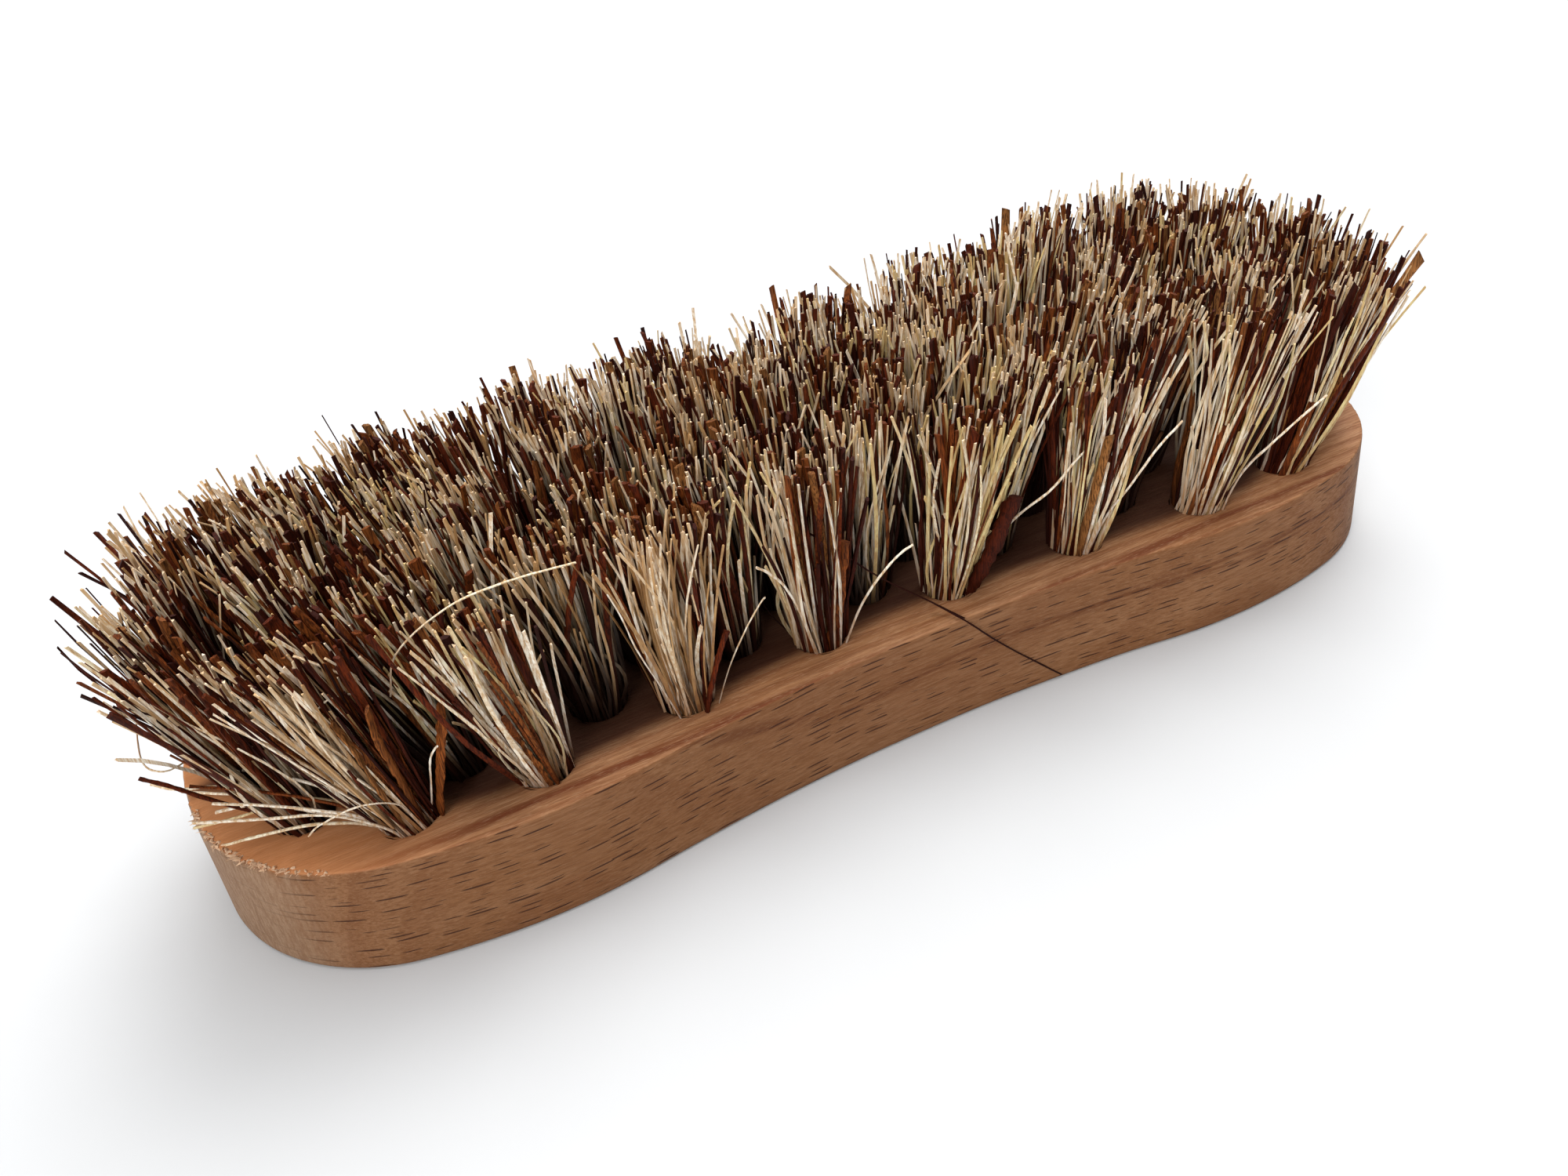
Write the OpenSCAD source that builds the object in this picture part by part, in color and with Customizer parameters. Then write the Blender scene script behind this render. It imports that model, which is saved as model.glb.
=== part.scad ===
// Waisted wooden scrub brush with tufts of mixed stiff plant fibre.
// It lies on the flat back of its block, with the fibres upwards, as in the photograph.
// Millimetres, +X along the block, +Z up, origin in the middle of the flat back.

/* [Block] */
// Length of the block
block_l = 200; // [194:1:210]
// Width of the block across its two bulges
block_w = 65; // [62:0.5:70]
// Width of the block at its waist
waist_w = 56.4; // [54:0.2:59]
// Thickness of the block
block_t = 18; // [16:0.5:24]
// Distance from each end of the block in to the widest place of its bulge
bulge_gap = 42; // [39:0.5:45]
// Radius of the outward arc along each bulge
bulge_r = 86; // [80:1:95]
// Radius of the shallow arc across each end
end_r = 67; // [60:1:80]
// Radius of the four rounded corners
corner_r = 28; // [24:0.5:29]

/* [Holes] */
// Diameter of each drilled hole
hole_d = 7.5; // [6:0.1:8.5]
// Depth of each hole along its own axis
hole_depth = 12; // [9:0.5:13]
// Distance from the long edge in to the outer rows of holes
edge_gap = 8.7; // [8:0.1:11]
// Distance from the end of the block in to the end hole
end_gap = 9.5; // [8:0.5:12]
// Distance from the end hole back to the last holes of the second rows
second_step = 4.5; // [3:0.5:6]
// Distance from the end hole back to the last holes of the outer rows
outer_step = 16.5; // [15:0.5:18]
// Spacing of the last two holes of the outer rows, closer than the others
last_pitch = 18.5; // [17:0.5:20]

/* [Fibres] */
// Height of the trimmed fibre tips above the face of the block
trim_h = 31; // [24:1:45]
// How far the tips may end above or below the trimmed height
trim_scatter = 1.5; // [0:0.1:3]
// How far the tips of the end tufts reach out past their holes
end_lean = 8; // [4:0.5:12]
// How far the tips of the outer rows reach out past their holes
side_lean = 5; // [2:0.5:7]
// Diameter of the ring that a tuft's outer strands form at their tips
tip_ring_d = 11; // [9:0.5:11.5]
// Diameter of the same ring where the strands leave the root
root_ring_d = 5; // [4.6:0.1:5.4]
// Thickness of one strand across its three corners
strand_d = 1.7; // [1:0.1:1.8]
// Height of the tight root of each tuft above the face
root_h = 3; // [2:0.5:5]
// Gap all round between a tuft and its hole
tuft_fit = 0.05; // [0.02:0.01:0.1]

/* [Anchors] */
// Thickness of the flat wire that holds each tuft
anchor_t = 0.5; // [0.4:0.05:0.8]
// Height of the flat wire, which stands on its edge
anchor_h = 2.2; // [1.6:0.1:3]
// How far each end of the wire bites into the wall of the hole
anchor_bite = 0.6; // [0.4:0.1:1]
// Thickness of the folded fibres under the wire
fold_t = 1.6; // [1:0.1:2.5]
// Gap all round the wire
anchor_fit = 0.03; // [0.02:0.01:0.05]

/* [Hidden] */
$fn = 16;

// The widest place of a bulge, from the middle of the block
bulge_x = block_l / 2 - bulge_gap;
// The end arc, the bulge arc and the corner arc between them, each tangent to the next
end_c = [block_l / 2 - end_r, 0];
bulge_c = [bulge_x, block_w / 2 - bulge_r];
corner_c = crossing(end_c, end_r - corner_r, bulge_c, bulge_r - corner_r);
// The inward arc of the waist, tangent to the two bulges beside it
waist_rise = waist_w / 2 - bulge_c.y;
waist_r = (bulge_x ^ 2 + waist_rise ^ 2 - bulge_r ^ 2) / (2 * (bulge_r - waist_rise));
waist_c = [0, waist_w / 2 + waist_r];
// Directions in which the arcs meet
corner_a = heading(end_c, corner_c);
bulge_a = heading(bulge_c, corner_c);
waist_a = heading(bulge_c, waist_c);
waist_join = bulge_c + bulge_r * [cos(waist_a), sin(waist_a)];
corner_join = bulge_c + bulge_r * [cos(bulge_a), sin(bulge_a)];

// Places along the length, on one side of the middle. The other holes are spread evenly
// between the last ones of the outer rows, with five spaces across the middle
end_x = block_l / 2 - end_gap;
last_x = end_x - outer_step;
hole_pitch = (last_x - last_pitch) / 2.5;
outer_x = [hole_pitch / 2, 1.5 * hole_pitch, 2.5 * hole_pitch, last_x];
second_x = [hole_pitch, 2 * hole_pitch, (outer_x[2] + outer_x[3]) / 2, end_x - second_step];
middle_x = [hole_pitch, 2 * hole_pitch, end_x];

// Rows a to g from front to back, numbered from -3 to 3, with equal shares of the width
ROW_NAMES = "abcdefg";
SHARE = 1 / 3;
// The last holes of the second rows lie nearer the edge, where the block turns its corner
NOSE_SHARE = 3 / 4;
STRANDS = 8;

// Each tuft as its name, the centre of its hole on the face, and a number for its own scatter
TUFTS = [
    for (row = [-3:3])
        let (xs = row_x(row))
            for (i = [0:len(xs) - 1])
                [str("tuft_", ROW_NAMES[row + 3], i + 1), [xs[i], row_y(row, xs[i])], 10 * row + i]
];

function heading(from, to) = atan2(to.y - from.y, to.x - from.x);

// The outer one of the two points at distance ra from a and rb from b
function crossing(a, ra, b, rb) =
    let (d = norm(b - a), u = (b - a) / d)
    let (along = (ra ^ 2 - rb ^ 2 + d ^ 2) / (2 * d))
    a + along * u + sqrt(ra ^ 2 - along ^ 2) * [-u.y, u.x];

function arc(c, r, a0, a1, steps) = [
    for (i = [0:steps - 1])
        let (a = a0 + (a1 - a0) * i / steps)
            c + r * [cos(a), sin(a)]
];

function mirrored(xs) = concat([for (i = [len(xs) - 1:-1:0]) -xs[i]], xs);

// Half the width of the block at a place along its length
function half_width(x) =
    let (t = abs(x))
    t < waist_join.x ? waist_c.y - sqrt(waist_r ^ 2 - t ^ 2)
    : t < corner_join.x ? bulge_c.y + sqrt(bulge_r ^ 2 - (t - bulge_c.x) ^ 2)
    : corner_c.y + sqrt(corner_r ^ 2 - (t - corner_c.x) ^ 2);

// The rows with a hole on the middle line take turns with those that have none
function row_x(row) =
    abs(row) % 2 == 1 ? mirrored(outer_x)
    : let (xs = row == 0 ? middle_x : second_x)
        concat([for (i = [len(xs) - 1:-1:0]) -xs[i]], [0], xs);

function row_y(row, x) =
    let (nose = abs(row) == 2 && abs(x) > outer_x[3])
    (nose ? sign(row) * NOSE_SHARE : row * SHARE) * (half_width(x) - edge_gap);

// How far a tuft's middle moves outwards from the face to the tips
function lean(p) = [end_lean * p.x / end_x, side_lean * p.y / (block_w / 2 - edge_gap)];

// A number from 0 to 1 that looks random and is always the same
function scatter(i, j) =
    let (s = 4375.85 * sin(129.898 * i + 78.233 * j + 37.7))
    s - floor(s);

// Puts children on the axis of a hole, with their origin at the centre of its mouth
module on_hole(p) {
    way = lean(p);
    tilt = atan2(norm(way), trim_h);
    around = atan2(way.y, way.x);
    translate([p.x, p.y, block_t])
        rotate([0, 0, around])
            rotate([0, tilt, 0])
                rotate([0, 0, -around])
                    children();
}

// The length of flat wire across the bottom of a hole, grown by a gap all round
module anchor_bar(gap) {
    translate([0, 0, fold_t + anchor_h / 2 - hole_depth])
        cube(
            [hole_d + 2 * anchor_bite + 2 * gap, anchor_t + 2 * gap, anchor_h + 2 * gap],
            center = true
        );
}

module outline() {
    quarter = concat(
        arc(end_c, end_r, 0, corner_a, 2),
        arc(corner_c, corner_r, corner_a, bulge_a, 18),
        arc(bulge_c, bulge_r, bulge_a, waist_a, 10),
        arc(waist_c, waist_r, waist_a + 180, 270, 14)
    );
    half = concat(
        quarter,
        [[0, waist_w / 2]],
        [for (i = [len(quarter) - 1:-1:0]) [-quarter[i].x, quarter[i].y]]
    );
    polygon(concat(half, [for (i = [len(half) - 2:-1:1]) [half[i].x, -half[i].y]]));
}

// The one-piece wooden block with its blind holes and the bites of the anchors
module block() {
    color("#b48a62")
        difference() {
            linear_extrude(block_t)
                outline();
            for (t = TUFTS)
                on_hole(t[1]) {
                    translate([0, 0, -hole_depth])
                        cylinder(d = hole_d, h = hole_depth + hole_d);
                    anchor_bar(anchor_fit);
                }
        }
}

// One short length of flat wire in each hole
module anchors() {
    color("silver")
        for (t = TUFTS)
            on_hole(t[1])
                anchor_bar(0);
}

// A strand of three sides through a list of centres, each triangle turned by one angle
module strand(centres, turn) {
    corners = [
        for (c = centres)
            for (k = [0:2])
                c + strand_d / 2 * [cos(turn + 120 * k), sin(turn + 120 * k), 0]
    ];
    top = 3 * (len(centres) - 1);
    sides = [
        for (level = [0:3:top - 3])
            for (k = [0:2])
                let (a = level + k, b = level + (k + 1) % 3)
                    each [[a, a + 3, b + 3], [a, b + 3, b]]
    ];
    polyhedron(concat(corners), concat([[0, 1, 2]], sides, [[top + 2, top + 1, top]]));
}

// Centre of strand j of a tuft at a share g of its height, with the first strand in the middle
function strand_point(p, seed, j, g, h) =
    let (ring = root_ring_d + (tip_ring_d - root_ring_d) * g * (0.9 + 0.1 * scatter(seed, j)))
    let (a = 360 * j / (STRANDS - 1) + 360 * scatter(seed, 50))
    let (out = j == 0 ? 0 : ring / 2)
    let (way = lean(p) * h / trim_h)
    [p.x + way.x + out * cos(a), p.y + way.y + out * sin(a), block_t + h];

// One tuft: a root in the hole, folded round its anchor, and strands that fan out of the root
module tuft(p, seed) {
    color("#9d8459") {
        difference() {
            on_hole(p)
                translate([0, 0, tuft_fit - hole_depth])
                    cylinder(d = hole_d - 2 * tuft_fit, h = hole_depth - tuft_fit + root_h);
            on_hole(p)
                anchor_bar(anchor_fit);
        }
        for (j = [0:STRANDS - 1]) {
            h = trim_h + trim_scatter * (2 * scatter(seed, j + 20) - 1);
            low = root_h / 2;
            // Halfway up, a strand has fanned out a little less than half, so it bows outwards
            centres = [
                strand_point(p, seed, j, low / trim_h, low),
                strand_point(p, seed, j, 0.44, h / 2),
                strand_point(p, seed, j, 1, h)
            ];
            strand(centres, 360 * scatter(seed, j + 40));
        }
    }
}

block();
anchors();
for (t = TUFTS)
    tuft(t[1], t[2]);
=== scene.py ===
import math

import bpy
import numpy as np
from mathutils import Matrix, Vector, geometry


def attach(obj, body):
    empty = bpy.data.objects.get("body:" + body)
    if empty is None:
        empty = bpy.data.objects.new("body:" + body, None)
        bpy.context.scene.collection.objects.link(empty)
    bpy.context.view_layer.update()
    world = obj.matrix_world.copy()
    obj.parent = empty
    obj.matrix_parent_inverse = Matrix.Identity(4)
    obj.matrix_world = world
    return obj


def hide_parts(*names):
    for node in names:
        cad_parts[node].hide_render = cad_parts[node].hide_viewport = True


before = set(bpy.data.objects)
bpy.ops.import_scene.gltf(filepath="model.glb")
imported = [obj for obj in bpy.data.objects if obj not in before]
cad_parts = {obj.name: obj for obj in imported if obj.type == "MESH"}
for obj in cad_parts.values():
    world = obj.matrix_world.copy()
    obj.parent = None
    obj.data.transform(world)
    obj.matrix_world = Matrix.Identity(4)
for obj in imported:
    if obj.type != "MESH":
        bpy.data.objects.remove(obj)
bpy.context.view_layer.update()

# Studio and camera
# A pale sweep under three very wide soft lamps, one overhead, one behind on the right and a
# weaker one at the front left, in a dim room. The camera looks down from the front left, close in.

bpy.context.scene.view_settings.view_transform = "Standard"

FOCAL_PX = 1819.3
PHOTO_WIDTH_PX = 2000
SENSOR_MM = 36
CAMERA_PLACE = (-0.08044, -0.17407, 0.14157)
CAMERA_YAW, CAMERA_PITCH, CAMERA_ROLL = 0.3972, 0.5934, -0.138


def camera_turn(yaw, pitch, roll):
    """Axes of a camera that looks along yaw and down by pitch, turned about its view by roll."""
    level = math.cos(pitch)
    ahead = Vector((math.sin(yaw) * level, math.cos(yaw) * level, -math.sin(pitch)))
    right = Vector((math.cos(yaw), -math.sin(yaw), 0))
    up = right.cross(ahead)
    across = math.cos(roll) * right + math.sin(roll) * up
    upwards = math.cos(roll) * up - math.sin(roll) * right
    return Matrix((across, upwards, -ahead)).transposed().to_4x4()


lens = bpy.data.cameras.new("photo_camera")
lens.sensor_width = SENSOR_MM
lens.lens = FOCAL_PX / PHOTO_WIDTH_PX * SENSOR_MM
lens.clip_start = 0.01
camera = bpy.data.objects.new("photo_camera", lens)
turn = camera_turn(CAMERA_YAW, CAMERA_PITCH, CAMERA_ROLL)
camera.matrix_world = Matrix.Translation(CAMERA_PLACE) @ turn
bpy.context.scene.collection.objects.link(camera)
bpy.context.scene.camera = camera


def linear(colour):
    """Turns an sRGB hex colour to linear red, green and blue, with an alpha of 1."""
    levels = [int(colour[i : i + 2], 16) / 255 for i in (1, 3, 5)]
    return tuple(c / 12.92 if c <= 0.04045 else ((c + 0.055) / 1.055) ** 2.4 for c in levels) + (1,)


def add(tree, kind, inputs=(), **settings):
    """Adds a node, sets its properties, and gives its inputs a value or another node's output.

    The inputs come as a dict by name, or in the order of those that the node then uses. A node
    given as a value stands for its first output in use.
    """
    made = tree.nodes.new("ShaderNode" + kind)
    for name, value in settings.items():
        setattr(made, name, value)
    if isinstance(inputs, dict):
        pairs = [(made.inputs[name], value) for name, value in inputs.items()]
    else:
        pairs = zip([socket for socket in made.inputs if socket.enabled], inputs)
    for socket, value in pairs:
        if isinstance(value, bpy.types.Node):
            value = next(output for output in value.outputs if output.enabled)
        if isinstance(value, bpy.types.NodeSocket):
            tree.links.new(value, socket)
        else:
            socket.default_value = value
    return made


def new_material(name):
    """A material with an empty node tree, as a pair of the two."""
    material = bpy.data.materials.new(name)
    material.use_nodes = True
    material.node_tree.nodes.clear()
    return material, material.node_tree


# Name, strength, width in degrees, and the way from the brush to the lamp. They are so wide that
# the shadow is a soft halo, broadest in front of the brush
for name, strength, width, way in (
    ("overhead_softbox", 2.35, 50, (0.10, 0.12, 1.0)),
    ("back_softbox", 2.1, 46, (0.64, 0.68, 1.15)),
    ("front_softbox", 1.95, 30, (-0.50, -0.48, 0.48)),
):
    key = bpy.data.lights.new(name, "SUN")
    key.energy, key.angle = strength, math.radians(width)
    softbox = bpy.data.objects.new(name, key)
    softbox.rotation_euler = Vector(way).to_track_quat("Z", "Y").to_euler()
    bpy.context.scene.collection.objects.link(softbox)

# The room is palest overhead and dim at the level of the table, so that light comes from above
room = bpy.data.worlds.new("pale_room")
room.use_nodes = True
tree = room.node_tree
tree.nodes.clear()
around = add(tree, "TexCoord").outputs["Generated"]
rise = add(tree, "SeparateXYZ", [around]).outputs["Z"]
glow = add(tree, "MapRange", (rise, 0, 0.9, 0.07, 0.44))
air = add(tree, "Background", {"Color": linear("#f9fafc"), "Strength": glow})
add(tree, "OutputWorld", {"Surface": air})
bpy.context.scene.world = room

# Half the width of the sweep, in metres, so wide that from low down its end is a far horizon
SWEEP_HALF = 12.0
sweep = bpy.data.meshes.new("white_sweep")
corners = [(x * SWEEP_HALF, y * SWEEP_HALF, 0) for x, y in ((-1, -1), (1, -1), (1, 1), (-1, 1))]
sweep.from_pydata(corners, [], [(0, 1, 2, 3)])
floor = bpy.data.objects.new("white_sweep", sweep)
bpy.context.scene.collection.objects.link(floor)
# Matt paper of a pale grey, which these lamps bring up to the white of the photograph
paper, tree = new_material("matt_white_paper")
look = {"Base Color": linear("#c4c5c6"), "Roughness": 1.0, "Specular IOR Level": 0.0}
matt = add(tree, "BsdfPrincipled", look)
add(tree, "OutputMaterial", {"Surface": matt})
sweep.materials.append(paper)


# Block
# One piece of steamed beech, band-sawn to a waisted outline, sanded on its edge and drilled
# for the tufts. Its arris is only just eased, and torn a little at the left end.

MM = 0.001
BLOCK_L, BLOCK_W, WAIST_W, BLOCK_T = 200, 65, 56.4, 18
BULGE_X, BULGE_R, END_R, CORNER_R = 58, 86, 67, 28
OUTLINE_STEP = 0.45


def circles_meet(a, ra, b, rb):
    """The outer one of the two points at distance ra from a and rb from b."""
    between = b - a
    far = np.linalg.norm(between)
    u = between / far
    along = (ra**2 - rb**2 + far**2) / (2 * far)
    return a + along * u + math.sqrt(ra**2 - along**2) * np.array([-u[1], u[0]])


def arc(centre, radius, start, stop):
    """Points on an arc, centre + radius * (cos a, sin a), from start up to but without stop."""
    steps = math.ceil(abs(stop - start) * radius / OUTLINE_STEP)
    a = np.linspace(start, stop, steps, endpoint=False)[:, None]
    return centre + radius * np.hstack([np.cos(a), np.sin(a)])


def block_outline():
    """The closed outline, anticlockwise: arcs of end, corner, bulge and waist, mirrored twice."""
    end_c = np.array([BLOCK_L / 2 - END_R, 0])
    bulge_c = np.array([BULGE_X, BLOCK_W / 2 - BULGE_R])
    corner_c = circles_meet(end_c, END_R - CORNER_R, bulge_c, BULGE_R - CORNER_R)
    rise = WAIST_W / 2 - bulge_c[1]
    waist_r = (BULGE_X**2 + rise**2 - BULGE_R**2) / (2 * (BULGE_R - rise))
    waist_c = np.array([0, WAIST_W / 2 + waist_r])
    at_end = math.atan2(*(corner_c - end_c)[::-1])
    at_bulge = math.atan2(*(corner_c - bulge_c)[::-1])
    at_waist = math.atan2(*(waist_c - bulge_c)[::-1])
    quarter = np.vstack([
        arc(end_c, END_R, 0, at_end),
        arc(corner_c, CORNER_R, at_end, at_bulge),
        arc(bulge_c, BULGE_R, at_bulge, at_waist),
        arc(waist_c, waist_r, at_waist + math.pi, 1.5 * math.pi),
    ])
    half = np.vstack([quarter, [[0, WAIST_W / 2]], quarter[::-1] * [-1, 1]])
    return np.vstack([half, half[-2:0:-1] * [1, -1]])


def outward(loop):
    """Unit normals of a closed anticlockwise loop, square to the line between two neighbours."""
    way = np.roll(loop, -1, 0) - np.roll(loop, 1, 0)
    way /= np.linalg.norm(way, axis=1)[:, None]
    return np.stack([way[:, 1], -way[:, 0]], 1)


def wander(rng, count, knots):
    """A closed line of count values that wanders between -1 and 1 through random knots."""
    level = rng.uniform(-1, 1, knots)
    place = np.arange(count) * knots / count
    low = place.astype(int)
    t = place - low
    t = t * t * (3 - 2 * t)
    return level[low % knots] * (1 - t) + level[(low + 1) % knots] * t


HOLE_D, HOLE_DEPTH = 7.5, 12
EDGE_GAP, END_GAP, SECOND_STEP, OUTER_STEP, LAST_PITCH = 8.7, 9.5, 4.5, 16.5, 18.5
TRIM_H, END_LEAN, SIDE_LEAN = 31, 8, 5
NOSE_SHARE = 0.75
BORE_POINTS = 32

end_x = BLOCK_L / 2 - END_GAP
last_x = end_x - OUTER_STEP
pitch = (last_x - LAST_PITCH) / 2.5
outer_row = [pitch / 2, 1.5 * pitch, 2.5 * pitch, last_x]
second_row = [pitch, 2 * pitch, (outer_row[2] + last_x) / 2, end_x - SECOND_STEP]
middle_row = [pitch, 2 * pitch, end_x]
outline = block_outline()


def hole_centres():
    """Name and centre of each hole: seven rows, spread evenly between the two outer ones."""
    holes = {}
    for row in range(-3, 4):
        right = outer_row if row % 2 else second_row if row else middle_row
        xs = [-x for x in right[::-1]] + ([] if row % 2 else [0]) + right
        for i, x in enumerate(xs):
            half_width = outline[np.abs(outline[:, 0] - x) < OUTLINE_STEP, 1].max()
            nose = abs(row) == 2 and abs(x) > last_x
            share = math.copysign(NOSE_SHARE, row) if nose else row / 3
            name = f"tuft_{'abcdefg'[row + 3]}{i + 1}"
            holes[name] = np.array([x, share * (half_width - EDGE_GAP)])
    return holes


holes = hole_centres()
centres = np.array(list(holes.values()))
leans = centres * [END_LEAN / end_x, SIDE_LEAN / (BLOCK_W / 2 - EDGE_GAP)]


def hole_rings():
    """Rings round each hole, as [hole, ring, point, xyz]: two on the face, then down the bore."""
    tilt = np.column_stack([leans, np.full(len(leans), TRIM_H)])
    tilt /= np.linalg.norm(tilt, axis=1)[:, None]
    side = np.cross([0, 1.0, 0], tilt)
    side /= np.linalg.norm(side, axis=1)[:, None]
    front = np.cross(tilt, side)
    a = np.linspace(0, 2 * math.pi, BORE_POINTS, endpoint=False)
    circle = np.cos(a)[:, None] * side[:, None] + np.sin(a)[:, None] * front[:, None]
    face = np.column_stack([centres, np.full(len(centres), BLOCK_T)])
    rings = []
    # The mouth is eased by 0.2 mm, and the bottom is a very shallow cone
    for radius, down in ((HOLE_D / 2 + 0.6, 0), (HOLE_D / 2 + 0.2, 0), (HOLE_D / 2, 0.2)):
        ring = face[:, None] + radius * circle
        ring -= ((ring[..., 2:] - BLOCK_T + down) / tilt[:, None, 2:]) * tilt[:, None]
        rings.append(ring)
    for radius, depth in ((HOLE_D / 2, HOLE_DEPTH), (0.2, HOLE_DEPTH + 0.8)):
        rings.append(face[:, None] - depth * tilt[:, None] + radius * circle)
    return np.stack(rings, 1)


def ring_quads(rings, points, start=0):
    """Quads between rings of points that lie one after another in a vertex list."""
    ring, point = np.meshgrid(np.arange(rings - 1), np.arange(points), indexing="ij")
    near, far = start + ring * points, start + (ring + 1) * points
    ahead = (point + 1) % points
    return np.stack([near + point, near + ahead, far + ahead, far + point], -1).reshape(-1, 4)


def block_mesh():
    """Rings of the outline, each inset and at its height, joined to a drilled face and a back."""
    rng = np.random.default_rng(11)
    normal = outward(outline)
    count = len(outline)
    quarter_turn = np.radians([0, 22.5, 45, 67.5, 90])
    # Radii of the two arrises, the margin inside them, and the number of rings up the edge
    back, eased, margin, levels = 0.8, 0.4, 2.2, 9
    inset = [margin, *(back * (1 - np.sin(quarter_turn))), *np.zeros(levels)]
    inset += [*(eased * (1 - np.cos(quarter_turn))), margin]
    height = [0, *(back * (1 - np.cos(quarter_turn))), *np.linspace(2, BLOCK_T - 1, levels)]
    height += [*(BLOCK_T - eased * (1 - np.sin(quarter_turn))), BLOCK_T]
    inset, height = np.array(inset)[:, None], np.array(height)[:, None]
    # The arris is ragged in the top 1.2 mm of the edge. The torn stretch runs round the front left
    # corner, and the rest is worn much less
    torn = np.exp(-(((outline[:, 0] + 95) / 9) ** 2)) * (outline[:, 1] < 2)
    ragged = np.abs(wander(rng, count, 520)) * 0.75 + np.abs(wander(rng, count, 140)) * 0.5
    near_face = np.clip((height - (BLOCK_T - 1.2)) / 1.2, 0, 1) * (inset < 2)
    inset = inset + near_face * ragged * (0.10 + 0.75 * torn)
    height = height - near_face * (inset < 1.9) * ragged * (0.05 + 0.35 * torn)
    inset = inset + 0.06 * wander(rng, count, 40) * (inset < 2)
    rings = np.empty((len(inset), count, 3))
    rings[..., :2] = outline - inset[..., None] * normal
    rings[..., 2] = height
    rings[-1, :, 2] = BLOCK_T
    bores = hole_rings()
    face_loops = [rings[-1], *bores[:, 0]]
    flat = np.vstack(face_loops)[:, :2]
    starts = np.cumsum([0] + [len(loop) for loop in face_loops])
    edges = []
    for first, after in zip(starts[:-1], starts[1:]):
        point = np.arange(first, after)
        edges += np.stack([point, np.roll(point, -1)], 1).tolist()
    got = geometry.delaunay_2d_cdt([Vector(p) for p in flat], edges, [], 1, 1e-6)
    source = np.array([olds[0] for olds in got[3]])
    cover = source[np.array(got[2])]
    middle = flat[cover].mean(1)
    off_hole = np.linalg.norm(middle[:, None] - centres, axis=2).min(1) > HOLE_D / 2 + 0.5
    cover = cover[off_hole]
    # The drilled face's corners are the last ring of the outline and the first ring of each bore
    total = rings.size // 3
    bore_rings = bores.shape[1]
    bore_starts = [total + h * bore_rings * BORE_POINTS for h in range(len(bores))]
    mouths = [start + np.arange(BORE_POINTS) for start in bore_starts]
    where = np.concatenate([np.arange(total - count, total), *mouths])
    faces = ring_quads(len(rings), count).tolist() + where[cover].tolist()
    faces.append(list(range(count))[::-1])
    for start in bore_starts:
        faces += ring_quads(bore_rings, BORE_POINTS, start).tolist()
        bottom = start + (bore_rings - 1) * BORE_POINTS
        faces.append(list(range(bottom, bottom + BORE_POINTS)))
    mesh = bpy.data.meshes.new("beech_block")
    corners = np.vstack([rings.reshape(-1, 3), bores.reshape(-1, 3)]) * MM
    mesh.from_pydata(corners.tolist(), [], faces)
    mesh.shade_smooth()
    mesh.validate()
    return mesh


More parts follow.
